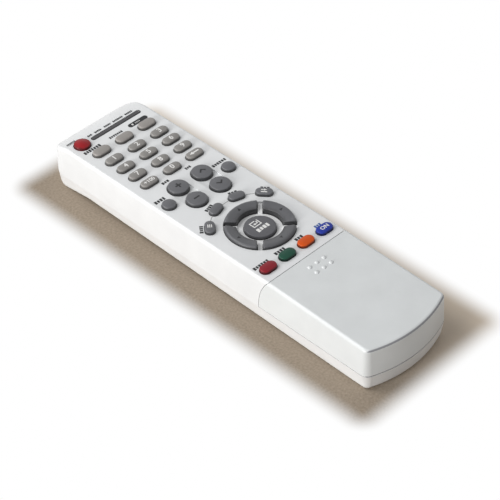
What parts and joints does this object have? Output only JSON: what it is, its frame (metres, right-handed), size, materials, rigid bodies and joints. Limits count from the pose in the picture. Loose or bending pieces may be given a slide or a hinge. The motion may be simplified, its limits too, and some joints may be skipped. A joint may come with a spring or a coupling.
{
  "type": "television remote control",
  "caption": "Slim white television remote with number, volume, ring and colour keys, and a sliding cap over a second keypad.",
  "frame": {"origin": "middle of the surface the remote lies on, under the middle of its case", "axes": "+X to the reader's right, +Y to the infrared end, +Z out of the key face"},
  "size_m": [0.0524, 0.216, 0.028],
  "materials": {
    "case_white": "satin, fine grain",
    "cover_white": "satin, fine grain",
    "silicone": "matt silicone",
    "board": "solder mask",
    "cell_jacket": "satin, printed jacket",
    "contact_steel": "nickel plated",
    "tinted_lens": "gloss, tinted",
    "key_red_plastic": "gloss",
    "key_grey": "satin",
    "key_light_grey": "satin",
    "key_dark_grey": "satin",
    "key_colour_red": "satin",
    "key_colour_green": "satin",
    "key_colour_orange": "satin",
    "key_colour_blue": "satin"
  },
  "bodies": {
    "root": {"upper_case": "case_white", "lower_case": "case_white", "keypad_mat": "silicone", "circuit_board": "board", "batteries": "cell_jacket", "battery_contacts": "contact_steel", "tinted_windows": "tinted_lens"},
    "battery_door": {"battery_door": "case_white"},
    "slide_cover": {"slide_cover": "cover_white"},
    "key_power": {"key_power": "key_red_plastic"},
    "key_input": {"key_input": "key_light_grey"},
    "key_timer": {"key_timer": "key_light_grey"},
    "key_picture_size": {"key_picture_size": "key_light_grey"},
    "key_1": {"key_1": "key_grey"},
    "key_2": {"key_2": "key_grey"},
    "key_3": {"key_3": "key_grey"},
    "key_4": {"key_4": "key_grey"},
    "key_5": {"key_5": "key_grey"},
    "key_6": {"key_6": "key_grey"},
    "key_7": {"key_7": "key_grey"},
    "key_8": {"key_8": "key_grey"},
    "key_9": {"key_9": "key_grey"},
    "key_hundred": {"key_hundred": "key_grey"},
    "key_0": {"key_0": "key_grey"},
    "key_previous": {"key_previous": "key_grey"},
    "key_volume_up": {"key_volume_up": "key_dark_grey"},
    "key_volume_down": {"key_volume_down": "key_dark_grey"},
    "key_channel_up": {"key_channel_up": "key_dark_grey"},
    "key_channel_down": {"key_channel_down": "key_dark_grey"},
    "key_mute": {"key_mute": "key_dark_grey"},
    "key_source": {"key_source": "key_dark_grey"},
    "key_exit": {"key_exit": "key_dark_grey"},
    "key_info": {"key_info": "key_dark_grey"},
    "key_guide": {"key_guide": "key_dark_grey"},
    "key_menu": {"key_menu": "key_dark_grey"},
    "key_enter": {"key_enter": "key_dark_grey"},
    "key_right": {"key_right": "key_dark_grey"},
    "key_up": {"key_up": "key_dark_grey"},
    "key_left": {"key_left": "key_dark_grey"},
    "key_down": {"key_down": "key_dark_grey"},
    "key_red": {"key_red": "key_colour_red"},
    "key_green": {"key_green": "key_colour_green"},
    "key_orange": {"key_orange": "key_colour_orange"},
    "key_blue": {"key_blue": "key_colour_blue"},
    "key_rewind": {"key_rewind": "key_light_grey"},
    "key_play": {"key_play": "key_light_grey"},
    "key_forward": {"key_forward": "key_light_grey"},
    "key_search_up": {"key_search_up": "key_light_grey"},
    "key_skip_back": {"key_skip_back": "key_light_grey"},
    "key_stop": {"key_stop": "key_light_grey"},
    "key_skip_forward": {"key_skip_forward": "key_light_grey"},
    "key_search_down": {"key_search_down": "key_light_grey"},
    "key_record": {"key_record": "key_light_grey"},
    "key_pause": {"key_pause": "key_light_grey"},
    "key_eject": {"key_eject": "key_light_grey"},
    "key_disc_menu": {"key_disc_menu": "key_light_grey"},
    "key_audio": {"key_audio": "key_light_grey"},
    "key_caption": {"key_caption": "key_light_grey"},
    "key_zoom": {"key_zoom": "key_light_grey"},
    "key_device": {"key_device": "key_light_grey"}
  },
  "joints": [
    {"name": "battery_door_hinge", "type": "hinge", "parent": "root", "child": "battery_door", "pos_m": [0, -0.093, 0], "axis": [-1, 0, 0], "range_deg": [0, 60]},
    {"name": "cover_slide", "type": "slide", "parent": "root", "child": "slide_cover", "axis": [0, -1, 0], "range_m": [0, 0.035]},
    {"name": "key_power_press", "type": "slide", "parent": "root", "child": "key_power", "axis": [0, 0, -1], "range_m": [0, 0.0008], "stiffness_N_per_m": 1200},
    {"name": "key_input_press", "type": "slide", "parent": "root", "child": "key_input", "axis": [0, 0, -1], "range_m": [0, 0.0008], "stiffness_N_per_m": 1200},
    {"name": "key_timer_press", "type": "slide", "parent": "root", "child": "key_timer", "axis": [0, 0, -1], "range_m": [0, 0.0008], "stiffness_N_per_m": 1200},
    {"name": "key_picture_size_press", "type": "slide", "parent": "root", "child": "key_picture_size", "axis": [0, 0, -1], "range_m": [0, 0.0008], "stiffness_N_per_m": 1200},
    {"name": "key_1_press", "type": "slide", "parent": "root", "child": "key_1", "axis": [0, 0, -1], "range_m": [0, 0.0008], "stiffness_N_per_m": 1200},
    {"name": "key_2_press", "type": "slide", "parent": "root", "child": "key_2", "axis": [0, 0, -1], "range_m": [0, 0.0008], "stiffness_N_per_m": 1200},
    {"name": "key_3_press", "type": "slide", "parent": "root", "child": "key_3", "axis": [0, 0, -1], "range_m": [0, 0.0008], "stiffness_N_per_m": 1200},
    {"name": "key_4_press", "type": "slide", "parent": "root", "child": "key_4", "axis": [0, 0, -1], "range_m": [0, 0.0008], "stiffness_N_per_m": 1200},
    {"name": "key_5_press", "type": "slide", "parent": "root", "child": "key_5", "axis": [0, 0, -1], "range_m": [0, 0.0008], "stiffness_N_per_m": 1200},
    {"name": "key_6_press", "type": "slide", "parent": "root", "child": "key_6", "axis": [0, 0, -1], "range_m": [0, 0.0008], "stiffness_N_per_m": 1200},
    {"name": "key_7_press", "type": "slide", "parent": "root", "child": "key_7", "axis": [0, 0, -1], "range_m": [0, 0.0008], "stiffness_N_per_m": 1200},
    {"name": "key_8_press", "type": "slide", "parent": "root", "child": "key_8", "axis": [0, 0, -1], "range_m": [0, 0.0008], "stiffness_N_per_m": 1200},
    {"name": "key_9_press", "type": "slide", "parent": "root", "child": "key_9", "axis": [0, 0, -1], "range_m": [0, 0.0008], "stiffness_N_per_m": 1200},
    {"name": "key_hundred_press", "type": "slide", "parent": "root", "child": "key_hundred", "axis": [0, 0, -1], "range_m": [0, 0.0008], "stiffness_N_per_m": 1200},
    {"name": "key_0_press", "type": "slide", "parent": "root", "child": "key_0", "axis": [0, 0, -1], "range_m": [0, 0.0008], "stiffness_N_per_m": 1200},
    {"name": "key_previous_press", "type": "slide", "parent": "root", "child": "key_previous", "axis": [0, 0, -1], "range_m": [0, 0.0008], "stiffness_N_per_m": 1200},
    {"name": "key_volume_up_press", "type": "slide", "parent": "root", "child": "key_volume_up", "axis": [0, 0, -1], "range_m": [0, 0.0008], "stiffness_N_per_m": 1200},
    {"name": "key_volume_down_press", "type": "slide", "parent": "root", "child": "key_volume_down", "axis": [0, 0, -1], "range_m": [0, 0.0008], "stiffness_N_per_m": 1200},
    {"name": "key_channel_up_press", "type": "slide", "parent": "root", "child": "key_channel_up", "axis": [0, 0, -1], "range_m": [0, 0.0008], "stiffness_N_per_m": 1200},
    {"name": "key_channel_down_press", "type": "slide", "parent": "root", "child": "key_channel_down", "axis": [0, 0, -1], "range_m": [0, 0.0008], "stiffness_N_per_m": 1200},
    {"name": "key_mute_press", "type": "slide", "parent": "root", "child": "key_mute", "axis": [0, 0, -1], "range_m": [0, 0.0008], "stiffness_N_per_m": 1200},
    {"name": "key_source_press", "type": "slide", "parent": "root", "child": "key_source", "axis": [0, 0, -1], "range_m": [0, 0.0008], "stiffness_N_per_m": 1200},
    {"name": "key_exit_press", "type": "slide", "parent": "root", "child": "key_exit", "axis": [0, 0, -1], "range_m": [0, 0.0008], "stiffness_N_per_m": 1200},
    {"name": "key_info_press", "type": "slide", "parent": "root", "child": "key_info", "axis": [0, 0, -1], "range_m": [0, 0.0008], "stiffness_N_per_m": 1200},
    {"name": "key_guide_press", "type": "slide", "parent": "root", "child": "key_guide", "axis": [0, 0, -1], "range_m": [0, 0.0008], "stiffness_N_per_m": 1200},
    {"name": "key_menu_press", "type": "slide", "parent": "root", "child": "key_menu", "axis": [0, 0, -1], "range_m": [0, 0.0008], "stiffness_N_per_m": 1200},
    {"name": "key_enter_press", "type": "slide", "parent": "root", "child": "key_enter", "axis": [0, 0, -1], "range_m": [0, 0.0008], "stiffness_N_per_m": 1200},
    {"name": "key_right_press", "type": "slide", "parent": "root", "child": "key_right", "axis": [0, 0, -1], "range_m": [0, 0.0008], "stiffness_N_per_m": 1200},
    {"name": "key_up_press", "type": "slide", "parent": "root", "child": "key_up", "axis": [0, 0, -1], "range_m": [0, 0.0008], "stiffness_N_per_m": 1200},
    {"name": "key_left_press", "type": "slide", "parent": "root", "child": "key_left", "axis": [0, 0, -1], "range_m": [0, 0.0008], "stiffness_N_per_m": 1200},
    {"name": "key_down_press", "type": "slide", "parent": "root", "child": "key_down", "axis": [0, 0, -1], "range_m": [0, 0.0008], "stiffness_N_per_m": 1200},
    {"name": "key_red_press", "type": "slide", "parent": "root", "child": "key_red", "axis": [0, 0, -1], "range_m": [0, 0.0008], "stiffness_N_per_m": 1200},
    {"name": "key_green_press", "type": "slide", "parent": "root", "child": "key_green", "axis": [0, 0, -1], "range_m": [0, 0.0008], "stiffness_N_per_m": 1200},
    {"name": "key_orange_press", "type": "slide", "parent": "root", "child": "key_orange", "axis": [0, 0, -1], "range_m": [0, 0.0008], "stiffness_N_per_m": 1200},
    {"name": "key_blue_press", "type": "slide", "parent": "root", "child": "key_blue", "axis": [0, 0, -1], "range_m": [0, 0.0008], "stiffness_N_per_m": 1200},
    {"name": "key_rewind_press", "type": "slide", "parent": "root", "child": "key_rewind", "axis": [0, 0, -1], "range_m": [0, 0.0008], "stiffness_N_per_m": 1200},
    {"name": "key_play_press", "type": "slide", "parent": "root", "child": "key_play", "axis": [0, 0, -1], "range_m": [0, 0.0008], "stiffness_N_per_m": 1200},
    {"name": "key_forward_press", "type": "slide", "parent": "root", "child": "key_forward", "axis": [0, 0, -1], "range_m": [0, 0.0008], "stiffness_N_per_m": 1200},
    {"name": "key_search_up_press", "type": "slide", "parent": "root", "child": "key_search_up", "axis": [0, 0, -1], "range_m": [0, 0.0008], "stiffness_N_per_m": 1200},
    {"name": "key_skip_back_press", "type": "slide", "parent": "root", "child": "key_skip_back", "axis": [0, 0, -1], "range_m": [0, 0.0008], "stiffness_N_per_m": 1200},
    {"name": "key_stop_press", "type": "slide", "parent": "root", "child": "key_stop", "axis": [0, 0, -1], "range_m": [0, 0.0008], "stiffness_N_per_m": 1200},
    {"name": "key_skip_forward_press", "type": "slide", "parent": "root", "child": "key_skip_forward", "axis": [0, 0, -1], "range_m": [0, 0.0008], "stiffness_N_per_m": 1200},
    {"name": "key_search_down_press", "type": "slide", "parent": "root", "child": "key_search_down", "axis": [0, 0, -1], "range_m": [0, 0.0008], "stiffness_N_per_m": 1200},
    {"name": "key_record_press", "type": "slide", "parent": "root", "child": "key_record", "axis": [0, 0, -1], "range_m": [0, 0.0008], "stiffness_N_per_m": 1200},
    {"name": "key_pause_press", "type": "slide", "parent": "root", "child": "key_pause", "axis": [0, 0, -1], "range_m": [0, 0.0008], "stiffness_N_per_m": 1200},
    {"name": "key_eject_press", "type": "slide", "parent": "root", "child": "key_eject", "axis": [0, 0, -1], "range_m": [0, 0.0008], "stiffness_N_per_m": 1200},
    {"name": "key_disc_menu_press", "type": "slide", "parent": "root", "child": "key_disc_menu", "axis": [0, 0, -1], "range_m": [0, 0.0008], "stiffness_N_per_m": 1200},
    {"name": "key_audio_press", "type": "slide", "parent": "root", "child": "key_audio", "axis": [0, 0, -1], "range_m": [0, 0.0008], "stiffness_N_per_m": 1200},
    {"name": "key_caption_press", "type": "slide", "parent": "root", "child": "key_caption", "axis": [0, 0, -1], "range_m": [0, 0.0008], "stiffness_N_per_m": 1200},
    {"name": "key_zoom_press", "type": "slide", "parent": "root", "child": "key_zoom", "axis": [0, 0, -1], "range_m": [0, 0.0008], "stiffness_N_per_m": 1200},
    {"name": "key_device_press", "type": "slide", "parent": "root", "child": "key_device", "axis": [0, 0, -1], "range_m": [0, 0.0008], "stiffness_N_per_m": 1200}
  ]
}
